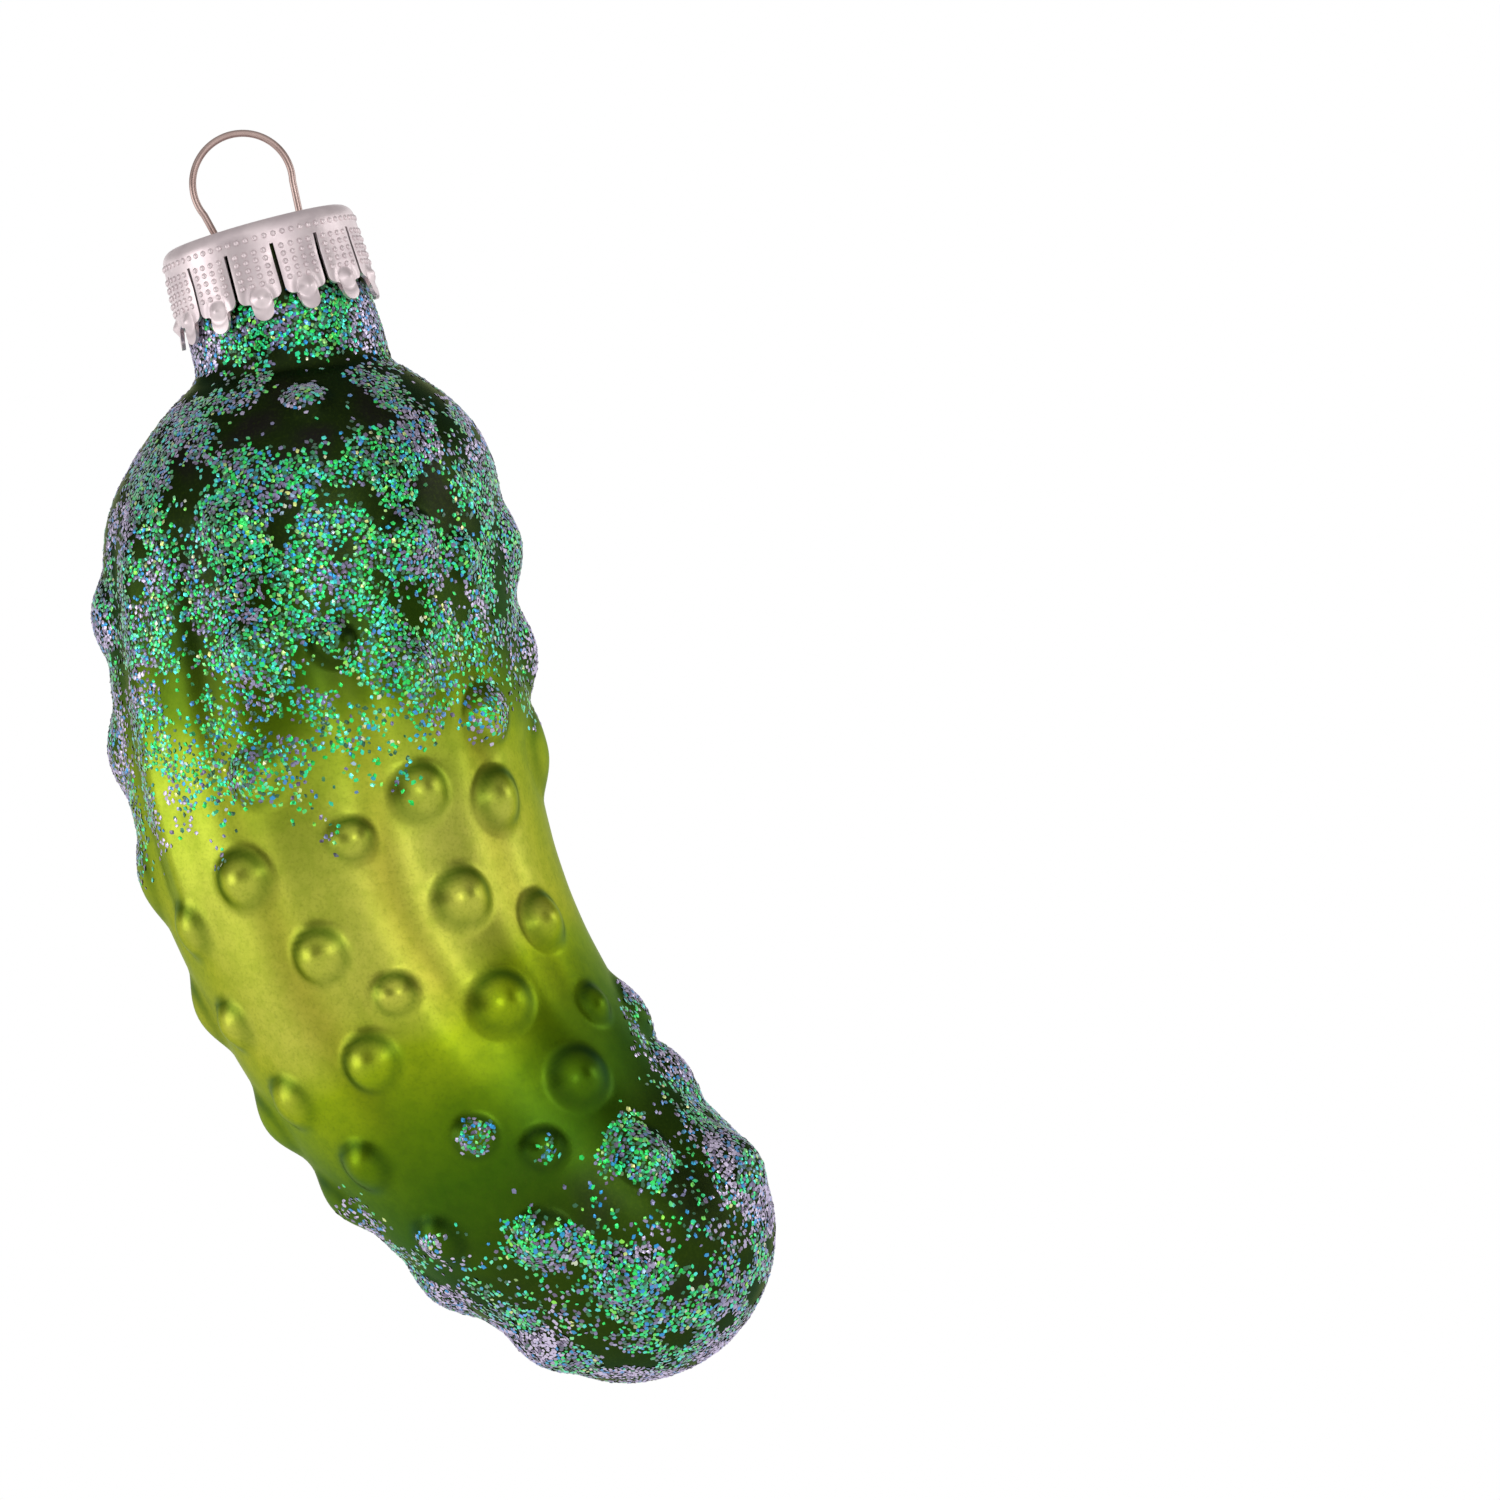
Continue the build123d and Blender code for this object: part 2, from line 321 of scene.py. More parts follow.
def make_lacquer():
    """Green lacquer over silvered glass: dark at both ends and yellow-green between, with a satin grain, and painted
    shade in the flute troughs and in a ring round each wart.
    """
    material, board = new_finish("green_lacquer")
    place = board.add("ShaderNodeTexCoord")["Object"]
    station = board.field("station")
    drift = board.cloud(place, 90.0, 2.0) - 0.5
    spray = station + drift * 8.0
    stops = (
        (0.0, tone(24, 38, 8)),
        (0.18, tone(30, 50, 6)),
        (0.26, tone(42, 70, 2)),
        (0.32, tone(98, 126, 10)),
        (0.37, tone(158, 174, 46)),
        (0.46, tone(184, 186, 74)),
        (0.56, tone(184, 186, 68)),
        (0.61, tone(146, 166, 14)),
        (0.67, tone(92, 122, 0)),
        (0.73, tone(60, 96, 0)),
        (0.80, tone(42, 66, 0)),
        (1.0, tone(29, 47, 2)),
    )
    body = board.add("ShaderNodeValToRGB", {"stops": stops}, {"Fac": spray / 90.0})["Color"]
    leaf = board.cloud(place, 55.0, 1.0).rise(0.42, 0.62)
    leafy = board.mix(leaf * 0.3, body, tone(232, 246, 150), "MULTIPLY")
    ends = 1 - station.rise(8.0, 22.0) + station.rise(64.0, 74.0) * 0.45
    plum = board.cloud(place, 140.0, 1.0).rise(0.5, 0.62) * ends
    ripe = board.mix(plum * 0.75, leafy, tone(34, 22, 34))
    # A ring round each wart is darkened, most on its upper side: partly pooled lacquer, partly painted shade.
    pool = board.field("pool")
    pooled = board.mix(pool, ripe, tone(138, 164, 104), "MULTIPLY")
    # The flute troughs are darkened brown: painted shade in the grooves.
    trough = board.field("trough")
    shaded = board.mix(trough, pooled, tone(206, 194, 160), "MULTIPLY")
    mottle = board.cloud(place, 800.0, 4.0, 0.68)
    mottled = board.mix(mottle.rise(0.35, 0.68) * 0.55, shaded, tone(216, 228, 190), "MULTIPLY")
    speck = board.cloud(place, 4200.0, 2.0)
    grain = board.mix(speck.rise(0.45, 0.8) * 0.22, mottled, tone(64, 84, 10))
    bump = board.add("ShaderNodeBump", {}, {"Strength": 0.10, "Distance": 0.00006, "Height": speck})["Normal"]
    rough = 0.3 + board.cloud(place, 400.0, 3.0) * 0.1
    surface(board, board.add("ShaderNodeBsdfPrincipled", {}, {
        "Base Color": grain, "Metallic": 0.94, "Roughness": rough, "Normal": bump,
        "Specular Tint": tone(170, 190, 110), "Coat Weight": 0.1, "Coat Roughness": 0.3,
    })["BSDF"])
    return material


def make_flake_film():
    """Glitter film: flakes of green, teal and some gold, of blue and lavender where the haze is thick, some dull;
    bright and dull flakes at random are painted glint and shade.
    """
    material, board = new_finish("flake_film")
    draw = board.field("flake_tint")
    stops = (
        (0.0, tone(20, 190, 70)),
        (0.3, tone(52, 236, 104)),
        (0.52, tone(36, 222, 156)),
        (0.68, tone(84, 236, 216)),
        (0.80, tone(146, 240, 76)),
        (0.90, tone(60, 206, 118)),
        (0.95, tone(245, 240, 140)),
        (1.0, tone(96, 170, 245)),
    )
    face_on = board.add("ShaderNodeValToRGB", {"stops": stops}, {"Fac": draw})["Color"]
    # Most flakes are bright and some dull, at random: painted glint and shade for flakes that face the lamps and
    # flakes that don't.
    gleam = (draw * 61.7).math("FRACT").rise(0.12, 0.45)
    film = (draw * 23.3).math("FRACT")
    haze = board.field("haze")
    is_blue = (haze * 1.2 + 0.08 - film).rise(-0.04, 0.04)
    is_lavender = (haze - film).rise(-0.04, 0.04)
    lavender = board.mix(haze.rise(0.25, 0.75), tone(124, 124, 158), tone(210, 198, 224))
    bright_blue = board.mix(is_blue, face_on, tone(44, 150, 212))
    bright = board.mix(is_lavender, bright_blue, lavender)
    dull = board.mix(is_lavender, tone(54, 104, 68), tone(112, 102, 126))
    colour = board.mix(gleam, dull, bright)
    surface(board, board.add("ShaderNodeBsdfPrincipled", {}, {
        "Base Color": colour, "Metallic": 0.75, "Roughness": 0.2, "Specular Tint": tone(205, 198, 228),
        "Sheen Weight": 1.0, "Sheen Roughness": 0.5, "Sheen Tint": tone(222, 212, 236),
    })["BSDF"])
    return material


def make_cap_metal():
    """Bright drawn sheet metal with a faint warm tint, satin from the press."""
    material, board = new_finish("cap_metal")
    place = board.add("ShaderNodeTexCoord")["Object"]
    smear = board.cloud(place, 500.0, 3.0)
    streak_place = board.vector("MULTIPLY", place, (3000.0, 3000.0, 260.0))
    streak = board.cloud(streak_place, 1.0, 2.0)
    colour = board.mix(smear.rise(0.35, 0.7), tone(229, 214, 216), tone(213, 198, 201))
    rough = 0.29 + smear * 0.14 + streak * 0.06
    bump = board.add("ShaderNodeBump", {}, {"Strength": 0.12, "Distance": 0.00005, "Height": streak})["Normal"]
    surface(board, board.add("ShaderNodeBsdfPrincipled", {}, {
        "Base Color": colour, "Metallic": 0.68, "Roughness": rough, "Normal": bump,
    })["BSDF"])
    return material


def make_wire_steel():
    """Drawn steel wire, faintly brown."""
    material, board = new_finish("wire_steel")
    place = board.add("ShaderNodeTexCoord")["Object"]
    tarnish = board.cloud(place, 260.0, 2.0)
    colour = board.mix(tarnish.rise(0.4, 0.7), tone(190, 166, 159), tone(158, 133, 126))
    surface(board, board.add("ShaderNodeBsdfPrincipled", {}, {
        "Base Color": colour, "Metallic": 0.8, "Roughness": 0.26 + tarnish * 0.1,
    })["BSDF"])
    return material


def make_stage_white():
    """A pale floor that keeps a shadow near the part and turns to plain white farther out."""
    material, board = new_finish("stage_white")
    paths = board.add("ShaderNodeLightPath")
    mirrored = paths["Is Glossy Ray"].math("MAXIMUM", paths["Is Transmission Ray"])
    place = board.add("ShaderNodeTexCoord")["Object"]
    flat = board.vector("MULTIPLY", place, (1.0, 1.0, 0.0))
    reach = board.add("ShaderNodeVectorMath", {"operation": "LENGTH"}, {0: flat})["Value"]
    paint = board.add("ShaderNodeBsdfDiffuse", {}, {"Color": (0.92, 0.92, 0.92, 1.0)})["BSDF"]
    glow = board.add("ShaderNodeEmission", {}, {"Color": (1.0, 1.0, 1.0, 1.0), "Strength": 1.0})["Emission"]
    share = (reach.rise(0.05, 0.35) * paths["Is Camera Ray"]).math("MAXIMUM", mirrored)
    surface(board, board.add("ShaderNodeMixShader", {}, {0: share, 1: paint, 2: glow})[0])
    return material


def make_flag_black():
    """A dark card of the studio."""
    material, board = new_finish("flag_black")
    surface(board, board.add("ShaderNodeBsdfDiffuse", {}, {"Color": (0.22, 0.22, 0.22, 1.0)})["BSDF"])
    return material


def make_ceiling_grey():
    """A card that is pale at the front of the studio and dark towards the back."""
    material, board = new_finish("ceiling_grey")
    place = board.add("ShaderNodeTexCoord")["Object"]
    depth = board.add("ShaderNodeSeparateXYZ", {}, {"Vector": place})["Y"]
    glow = board.mix(depth.rise(-1.4, 0.4), (1.0, 1.0, 1.0, 1.0), (0.32, 0.32, 0.32, 1.0))
    surface(board, board.add("ShaderNodeEmission", {}, {"Color": glow, "Strength": 1.0})["Emission"])
    return material


lacquer = make_lacquer()
flake_film = make_flake_film()
cap_metal = make_cap_metal()
wire_steel = make_wire_steel()
stage_white = make_stage_white()
flag_black = make_flag_black()
ceiling_grey = make_ceiling_grey()


def put(name, mesh, material=None):
    """A mesh as an object at the origin."""
    piece = bpy.data.objects.new(name, mesh)
    bpy.context.scene.collection.objects.link(piece)
    if material is not None and not mesh.materials:
        mesh.materials.append(material)
    return piece


# Glass shell


def smooth_through(knots, heights, wanted):
    """A smooth curve through knots that doesn't overshoot them, read at the wanted places."""
    knots = np.asarray(knots, float)
    heights = np.asarray(heights, float)
    step = np.diff(knots)
    slope = np.diff(heights) / step
    tangent = np.zeros_like(heights)
    before, after = slope[:-1], slope[1:]
    agree = before * after > 0
    safe_before = np.where(agree, before, 1.0)
    safe_after = np.where(agree, after, 1.0)
    first = 2 * step[1:] + step[:-1]
    second = step[1:] + 2 * step[:-1]
    tangent[1:-1] = np.where(agree, (first + second) / (first / safe_before + second / safe_after), 0.0)
    tangent[0], tangent[-1] = slope[0], slope[-1]
    at = np.clip(np.searchsorted(knots, wanted) - 1, 0, len(step) - 1)
    part = (wanted - knots[at]) / step[at]
    square, cube = part**2, part**3
    return (
        (2 * cube - 3 * square + 1) * heights[at]
        + (cube - 2 * square + part) * step[at] * tangent[at]
        + (3 * square - 2 * cube) * heights[at + 1]
        + (cube - square) * step[at] * tangent[at + 1]
    )


def spine_point(station):
    """Middle of the body in x and z and the heading of the spine, in radians from straight down towards -X."""
    lean = math.radians(BODY_LEAN)
    straight = min(station, BODY_STRAIGHT)
    turn = min(max(station - BODY_STRAIGHT, 0.0), bend_length) / BEND_RADIUS
    beyond = max(station - spine_length, 0.0)
    heading = lean - turn
    x = SPINE_OFFSET - math.sin(lean) * straight - BEND_RADIUS * (math.cos(heading) - math.cos(lean))
    z = rim_level - SPINE_DEPTH - math.cos(lean) * straight + BEND_RADIUS * (math.sin(heading) - math.sin(lean))
    return x - math.sin(heading) * beyond, z - math.cos(heading) * beyond, heading


def body_rings():
    """Rings from the rim to the tip: middle x, middle z, heading, radius, station."""
    rings = []
    for depth, radius in NECK_RINGS:
        rings.append((0.0, rim_level - depth, 0.0, radius, depth - SPINE_DEPTH))
    bend_step = bend_length / len(BEND_RADII)
    spans = list(SHOULDER_RINGS)
    spans += [(BODY_STRAIGHT + bend_step * index, radius, 0.0) for index, radius in enumerate(BEND_RADII)]
    for turn in END_TURNS:
        bow = math.radians(turn)
        spans.append((spine_length + END_RADIUS * math.sin(bow), END_RADIUS * math.cos(bow), 0.0))
    for station, radius, shift in spans:
        x, z, heading = spine_point(station)
        rings.append((x + shift * math.cos(heading), z - shift * math.sin(heading), heading, radius, station))
    return np.array(rings)


def ring_points(ring, angles):
    """Points of one ring, or of many, at angles in radians from the front towards +X."""
    x, z, heading, radius = (np.asarray(ring[..., index])[..., None] for index in range(4))
    side = radius * np.sin(angles)
    return np.stack([
        x + side * np.cos(heading),
        -radius * np.cos(angles) + 0 * heading,
        z - side * np.sin(heading),
    ], axis=-1)


def at_back(places):
    """The same warts at the back, shifted along the spine."""
    return tuple((station + BACK_WART_SHIFT, 180 - angle) for station, angle in places)


def wart_list():
    """All warts: station, angle, half width and height, each a little different from its neighbours."""
    draw = random.Random(WART_SEED)
    warts = []
    for places, (width, height) in (
        (LARGE_FRONT_WARTS, LARGE_WART), (LARGE_SIDE_WARTS, SIDE_WART), (SMALL_FRONT_WARTS, SMALL_WART),
        (at_back(LARGE_FRONT_WARTS), LARGE_WART), (at_back(SMALL_FRONT_WARTS), SMALL_WART),
    ):
        for station, angle in places:
            half = width / 2 * draw.uniform(*WIDTH_SPREAD)
            warts.append((station, angle, half, height * draw.uniform(*HEIGHT_SPREAD)))
    return warts


def rise_between(low, high, amount):
    """Smooth rise of an array from 0 at low to 1 at high."""
    part = np.clip((amount - low) / (high - low), 0.0, 1.0)
    return part * part * (3 - 2 * part)


def noise_field(points, size, offset):
    """Noise from -1 to 1 at points in mm, with features of about the given size."""
    shift = Vector((offset, -offset * 0.7, offset * 1.3))
    return np.array([noise.noise(Vector(point) / size + shift) for point in points])


def angle_apart(angles, middle):
    """Angles in degrees from a middle one, between -180 and 180."""
    return (angles - middle + 180.0) % 360.0 - 180.0


def make_glass():
    """The blown shell as one closed mesh, with where its glitter sits as attributes."""
    rings = body_rings()
    gaps = np.hypot(np.hypot(np.diff(rings[:, 0]), np.diff(rings[:, 1])), np.diff(rings[:, 3]))
    knots = np.concatenate([[0.0], np.cumsum(gaps)])
    wanted = np.linspace(0.0, knots[-1], BODY_ROWS + 1)
    fine = np.stack([smooth_through(knots, rings[:, index], wanted) for index in range(5)], axis=-1)
    angles = np.linspace(0.0, 2 * math.pi, BODY_COLUMNS, endpoint=False)
    grid = ring_points(fine[:-1], angles)
    pole = ring_points(fine[-1:], np.zeros(1))[0, 0]
    along = np.gradient(grid, axis=0)
    round_step = np.roll(grid, -1, axis=1) - np.roll(grid, 1, axis=1)
    normal = np.cross(round_step, along)
    normal /= np.linalg.norm(normal, axis=-1, keepdims=True)
    outward = grid - np.stack([fine[:-1, 0], 0 * fine[:-1, 0], fine[:-1, 1]], axis=-1)[:, None, :]
    normal *= np.where((normal * outward).sum(-1, keepdims=True) < 0, -1.0, 1.0)

    station = np.repeat(fine[:-1, 4][:, None], BODY_COLUMNS, axis=1)
    degrees = np.repeat(np.degrees(angles)[None, :], BODY_ROWS, axis=0)

    def noise_at(size, offset, upright=1.0):
        """Noise on the skin, drawn out up and down where upright is below 1."""
        return noise_field(grid.reshape(-1, 3) * (1.0, 1.0, upright), size, offset).reshape(grid.shape[:2])

    # Warts
    lift = np.zeros(grid.shape[:2])
    on_wart = np.zeros(grid.shape[:2])
    clumped = np.zeros(grid.shape[:2])
    pool = np.zeros(grid.shape[:2])
    for wart_station, angle, half, height in wart_list():
        row = np.argmin(np.abs(fine[:-1, 4] - wart_station))
        foot = ring_points(fine[row:row + 1], np.array([math.radians(angle)]))[0, 0]
        away = np.linalg.norm(grid - foot, axis=-1)
        share = away / (half * WART_FOOT)
        inside = np.clip(1 - share**2, 0.0, 1.0)
        lift = np.maximum(lift, height * inside**WART_BLUNTNESS)
        # Each wart gets a ring that darkens the lacquer, most on its upper side: partly lacquer pooled round the
        # wart, partly painted shade for the dark above mirrored in its slopes.
        uphill = (grid[..., 2] - foot[2]) / np.maximum(away, 0.05)
        ring = np.exp(-(((share - POOL_PLACE) / POOL_WIDTH) ** 2)) * (0.72 + 0.28 * uphill)
        pool = np.maximum(pool, ring)
        on_wart = np.maximum(on_wart, np.clip(1.25 - share, 0.0, 1.0))
        if wart_station > CLUMP_START and (wart_station, angle) not in BARE_WARTS:
            reach = 1.9 if wart_station > FULL_CLUMP_START else 1.15
            clumped = np.maximum(clumped, np.clip(reach - 1.2 * share, 0.0, 1.0))

    # Flutes, a ridge on one flank, and the unevenness of blown glass
    body = rise_between(9.0, 16.0, station) * (1 - rise_between(50.0, 64.0, station))
    wander = noise_at(14.0, 5.3)
    swell = noise_at(11.0, 3.1)
    flute_half = 180.0 / FLUTE_COUNT
    off_flute = (degrees - FLUTE_ANGLE + FLUTE_WANDER * wander + flute_half) % (2 * flute_half) - flute_half
    side_on = np.abs(np.sin(np.radians(degrees)))
    flutes = FLUTE_DEPTH * np.exp(-((off_flute / FLUTE_SPREAD) ** 2)) * (0.75 + 0.6 * swell)
    flutes = flutes * (1 - rise_between(0.75, 0.9, side_on))
    flank = rise_between(10.0, 16.0, station) * (1 - rise_between(36.0, 46.0, station))
    ridge = 0.5 * np.exp(-((angle_apart(degrees, -57.0) / 5.0) ** 2))
    groove = 0.35 * np.exp(-((angle_apart(degrees, -71.0) / 5.0) ** 2))
    trough = body * flutes / FLUTE_DEPTH * (1 - np.clip(lift * 1.5, 0, 1))
    lift = lift - FLUTE_DEPTH * trough + flank * (ridge - groove)
    lift = lift + 0.2 * swell * rise_between(4.0, 12.0, station)
    outer = grid + normal * lift[..., None]

    # Where glitter sits
    clump = noise_at(2.3, 11.0)
    patch = noise_at(6.0, 23.0)
    ragged = noise_at(3.0, 37.0, 0.35)
    towards_x = np.clip(np.sin(np.radians(degrees)), 0.0, 1.0)
    edge = UPPER_EDGE - UPPER_EDGE_RISE * towards_x + 3.5 * ragged + 2.5 * patch
    upper = 0.42 * rise_between(-2.5, 2.0, edge - station) + 0.58 * rise_between(0.5, 6.0, edge - station)
    upper = np.maximum(upper, on_wart * rise_between(-3.0, 0.0, edge - station))
    on_neck = 1 - rise_between(-1.0, 2.0, station)
    gaps = noise_at(3.4, 67.0, 0.5)
    fill = clump + 0.3 * on_wart + 0.2 * side_on + 0.4 * on_neck - 0.2 * trough
    upper = upper * (0.12 + 0.88 * rise_between(-0.42, 0.0, fill))
    upper = upper * (0.12 + 0.88 * rise_between(-0.6, -0.12, gaps + 0.5 * on_wart + 0.5 * on_neck))
    facing = np.cos(np.radians(degrees)) ** 2
    bare = rise_between(1.0, 2.6, station) * (1 - rise_between(-1.2, 1.2, station - 6.0 - 3.0 * facing))
    under_cap = 1 - rise_between(-3.6, -2.2, station)
    upper = upper * (1 - under_cap) * (1 - 0.85 * flank * np.exp(-((angle_apart(degrees, -70.0) / 5.0) ** 2)))
    front_bare = np.cos(np.radians(degrees * 2.0))
    upper = upper * (1 - 0.98 * bare * rise_between(-0.25, 0.05, patch + 0.3 * front_bare - 0.9 * on_wart))
    lower = rise_between(66.0, 78.0, station + 6.0 * patch) * (0.25 + 0.75 * rise_between(0.55, 0.9, side_on))
    lower = np.maximum(lower, rise_between(80.0, 85.0, station + 4.0 * patch))
    on_flank = 0.8 * rise_between(0.85, 0.98, side_on)
    lower = np.maximum(lower, on_flank * rise_between(58.0, 66.0, station + 5.0 * patch))
    lower = lower * rise_between(-0.25, 0.1, clump + 0.15)
    blot = noise_at(3.6, 51.0)
    near_clump = rise_between(0.0, 0.4, clumped)
    lower = np.maximum(lower, rise_between(0.3, 0.75, clumped + near_clump * (0.8 * blot + 0.35 * clump)))

    # Where lavender flakes sit, in patches that are fixed to the glass; the shares on the flanks and round warts are
    # painted sheen, the lavender that glitter shows at a slant
    veil = noise_at(4.2, 83.0)
    drift = rise_between(-0.1, 0.25, veil)
    haze = HAZE_LEAST + HAZE_PATCH * rise_between(0.0, 0.35, veil)
    haze = haze + HAZE_FLANK * drift * rise_between(0.5, 0.95, side_on) + HAZE_POOL * pool
    haze = haze + HAZE_SHOULDER * bare + HAZE_LOWER * rise_between(70.0, 80.0, station)
    haze = np.clip(haze + HAZE_TIP * rise_between(84.0, 92.0, station), 0.0, HAZE_MOST)

    # Rim and inside
    def level_ring(depth, radius):
        return ring_points(np.array([0.0, rim_level - depth, 0.0, radius]), angles)

    lip = [level_ring(depth, radius) for depth, radius in (
        (0.3, bore_radius), (0.09, bore_radius + 0.09), (0.0, bore_radius + 0.3), (0.0, NECK_RADIUS - 0.3),
        (0.09, NECK_RADIUS - 0.09),
    )]
    hollow = (grid - normal * GLASS_WALL)[HOLLOW_ROW_STEP::HOLLOW_ROW_STEP]
    hollow_pole = pole + np.array([math.sin(fine[-1, 2]), 0.0, math.cos(fine[-1, 2])]) * GLASS_WALL
    bands = np.concatenate([hollow[::-1], np.array(lip), outer])
    hollow_rows = len(hollow) + len(lip)

    def spread(field):
        padded = np.concatenate([np.zeros((hollow_rows, BODY_COLUMNS)), field])
        return np.concatenate([padded.ravel(), [0.0, field[-1].mean()]])

    points = np.concatenate([bands.reshape(-1, 3), [hollow_pole], [pole]]) * MM
    faces = []
    total = len(bands)
    for row in range(total - 1):
        for column in range(BODY_COLUMNS):
            beside = (column + 1) % BODY_COLUMNS
            here, below = row * BODY_COLUMNS, (row + 1) * BODY_COLUMNS
            faces.append((here + column, below + column, below + beside, here + beside))
    last = (total - 1) * BODY_COLUMNS
    for column in range(BODY_COLUMNS):
        beside = (column + 1) % BODY_COLUMNS
        faces.append((column, beside, len(points) - 2))
        faces.append((last + beside, last + column, len(points) - 1))
    mesh = bpy.data.meshes.new("pickle_glass")
    mesh.from_pydata(points.tolist(), [], faces)
    fields = {
        "station": spread(station), "pool": spread(pool), "trough": spread(trough), "haze": spread(haze),
        "glitter_neck": spread(upper * (station < UPPER_START)),
        "glitter_upper": spread(upper * (station >= UPPER_START)),
        "glitter_tip": spread(lower),
    }
    for name, field in fields.items():
        mesh.attributes.new(name, "FLOAT", "POINT").data.foreach_set("value", field.astype(np.float32))
    mesh.polygons.foreach_set("use_smooth", [True] * len(mesh.polygons))
    mesh.update()
    return put("pickle_glass", mesh, lacquer)


# Geometry node trees


def new_tree(name, inputs):
    """A geometry node tree with named inputs: its board and its group input."""
    tree = bpy.data.node_groups.new(name, "GeometryNodeTree")
    tree.interface.new_socket("Geometry", in_out="INPUT", socket_type="NodeSocketGeometry")
    for label, kind in inputs:
        tree.interface.new_socket(label, in_out="INPUT", socket_type=kind)
    tree.interface.new_socket("Geometry", in_out="OUTPUT", socket_type="NodeSocketGeometry")
    board = Board(tree)
    return board, board.add("NodeGroupInput")


def close_tree(board, geometry, material, smooth=True):
    """Realizes what the tree made, gives it its material and hands it out."""
    real = board.add("GeometryNodeRealizeInstances", {}, {"Geometry": geometry})["Geometry"]
    shaded = board.add("GeometryNodeSetShadeSmooth", {}, {0: real, "Shade Smooth": smooth})[0]
    done = board.add("GeometryNodeSetMaterial", {}, {"Geometry": shaded, "Material": material})["Geometry"]
    board.add("NodeGroupOutput", {}, {0: done})


def run_tree(name, carrier, board, values):
    """Runs a tree on an object and returns the result as a plain mesh object."""
    modifier = carrier.modifiers.new(name, "NODES")
    modifier.node_group = board.tree
    for item in board.tree.interface.items_tree:
        if item.in_out == "INPUT" and item.name in values:
            modifier[item.identifier] = values[item.name]
    view = bpy.context.evaluated_depsgraph_get()
    view.update()
    mesh = bpy.data.meshes.new_from_object(carrier.evaluated_get(view))
    mesh.name = name
    carrier.modifiers.remove(modifier)
    return put(name, mesh)


def glitter_tree():
    """Flakes scattered on a skin where a density attribute says, each with its own tilt, size and tint."""
    board, given = new_tree("glitter", (
        ("Density Name", "NodeSocketString"), ("Spacing", "NodeSocketFloat"), ("Most", "NodeSocketFloat"),
        ("Radius", "NodeSocketFloat"), ("Thickness", "NodeSocketFloat"), ("Tilt", "NodeSocketFloat"),
        ("Seed", "NodeSocketInt"),
    ))
    density = board.add("GeometryNodeInputNamedAttribute", {"data_type": "FLOAT"}, {"Name": given["Density Name"]})
    scatter = board.add("GeometryNodeDistributePointsOnFaces", {"distribute_method": "POISSON"}, {
        "Mesh": given["Geometry"], "Distance Min": given["Spacing"], "Density Max": given["Most"],
        "Density Factor": density["Attribute"], "Seed": given["Seed"],
    })
    disc = board.add("GeometryNodeMeshCone", {"fill_type": "NGON"}, {
        "Vertices": 5, "Radius Top": 0.0, "Radius Bottom": given["Radius"], "Depth": given["Thickness"],
    })["Mesh"]
    lean = board.add("FunctionNodeRandomValue", {"data_type": "FLOAT_VECTOR"}, {
        0: (-1.0, -1.0, -1.0), 1: (1.0, 1.0, 1.0), "Seed": given["Seed"],
    })[0]
    slack = board.add("ShaderNodeVectorMath", {"operation": "SCALE"}, {0: lean, "Scale": given["Tilt"]})[0]
    upright = board.vector("ADD", scatter["Normal"], slack)
    turn = board.add("FunctionNodeAlignRotationToVector", {"axis": "Z"}, {"Vector": upright})["Rotation"]
    size = board.add("FunctionNodeRandomValue", {"data_type": "FLOAT"}, {
        2: FLAKE_SIZES[0], 3: FLAKE_SIZES[1], "Seed": given["Seed"] + 1,
    })[1]
    flakes = board.add("GeometryNodeInstanceOnPoints", {}, {
        "Points": scatter["Points"], "Instance": disc, "Rotation": turn, "Scale": size,
    })["Instances"]
    tint = board.add("FunctionNodeRandomValue", {"data_type": "FLOAT"}, {
        2: 0.0, 3: 1.0, "Seed": given["Seed"] + 2,
    })[1]
    tinted = board.add("GeometryNodeStoreNamedAttribute", {"data_type": "FLOAT", "domain": "INSTANCE"}, {
        "Geometry": flakes, "Name": "flake_tint", "Value": tint,
    })["Geometry"]
    close_tree(board, tinted, flake_film, smooth=False)
    return board


def wire_tree():
    """Round wire along the edges of a path."""
    board, given = new_tree("round_wire", (("Radius", "NodeSocketFloat"), ("Sides", "NodeSocketInt")))
    path = board.add("GeometryNodeMeshToCurve", {}, {"Mesh": given["Geometry"]})["Curve"]
    section = board.add("GeometryNodeCurvePrimitiveCircle", {}, {
        "Resolution": given["Sides"], "Radius": given["Radius"],
    })["Curve"]
    tube = board.add("GeometryNodeCurveToMesh", {}, {"Curve": path, "Profile Curve": section, "Fill Caps": True})
    close_tree(board, tube["Mesh"], wire_steel)
    return board


